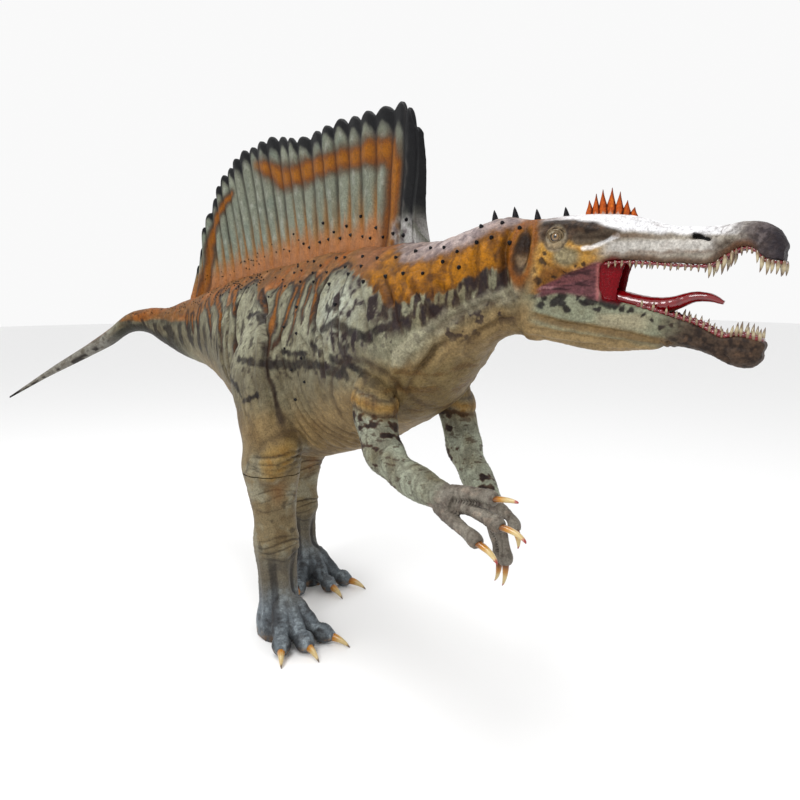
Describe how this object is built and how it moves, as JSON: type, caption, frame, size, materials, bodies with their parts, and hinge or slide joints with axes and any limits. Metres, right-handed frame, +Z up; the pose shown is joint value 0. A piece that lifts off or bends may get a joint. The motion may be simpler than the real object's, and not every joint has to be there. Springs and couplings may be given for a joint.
{
  "type": "spinosaurus model",
  "caption": "Life-like standing display model of a spinosaurus with a tall ribbed sail, an open toothed mouth, clawed hands and feet and a curling tail.",
  "frame": {"origin": "on the ground under the middle of the model's outer box, level with the soles of both feet", "axes": "+X towards the head along the trunk, +Y to the animal's left, +Z up"},
  "size_m": [4.6236, 1.4512, 2.382],
  "materials": {
    "skin": "wrinkled painted skin: grey-green with orange-brown stripes, cream belly, semi-matt",
    "head_skin": "scaly painted skin: ochre cheeks, whitish crown, dark glossy snout and chin",
    "sail_skin": "granular pale grey-green ribs with an orange band and a black scalloped rim",
    "limb_skin": "wrinkled and scaled painted skin, slate blue-grey at the feet",
    "claw": "glossy amber to cream, with reddish brown tips",
    "tooth": "glossy cream teeth with brown tips in red gums",
    "tongue": "wet crimson",
    "crest": "orange-red, speckled brown towards its foot",
    "eye": "glassy golden brown with a black pupil"
  },
  "bodies": {
    "root": {"torso": "skin", "neck": "skin", "tail": "skin", "head": "head_skin", "lower_jaw": "head_skin", "right_eye": "eye", "left_eye": "eye", "tongue": "tongue", "upper_teeth": "tooth", "lower_teeth": "tooth", "head_crest": "crest", "sail": "sail_skin", "right_leg": "limb_skin", "left_leg": "limb_skin", "right_arm": "limb_skin", "left_arm": "limb_skin", "right_foot_claw_1": "claw", "right_foot_claw_2": "claw", "right_foot_claw_3": "claw", "right_hand_claw_1": "claw", "right_hand_claw_2": "claw", "right_hand_claw_3": "claw", "left_foot_claw_1": "claw", "left_foot_claw_2": "claw", "left_foot_claw_3": "claw", "left_hand_claw_1": "claw", "left_hand_claw_2": "claw", "left_hand_claw_3": "claw"}
  },
  "joints": []
}
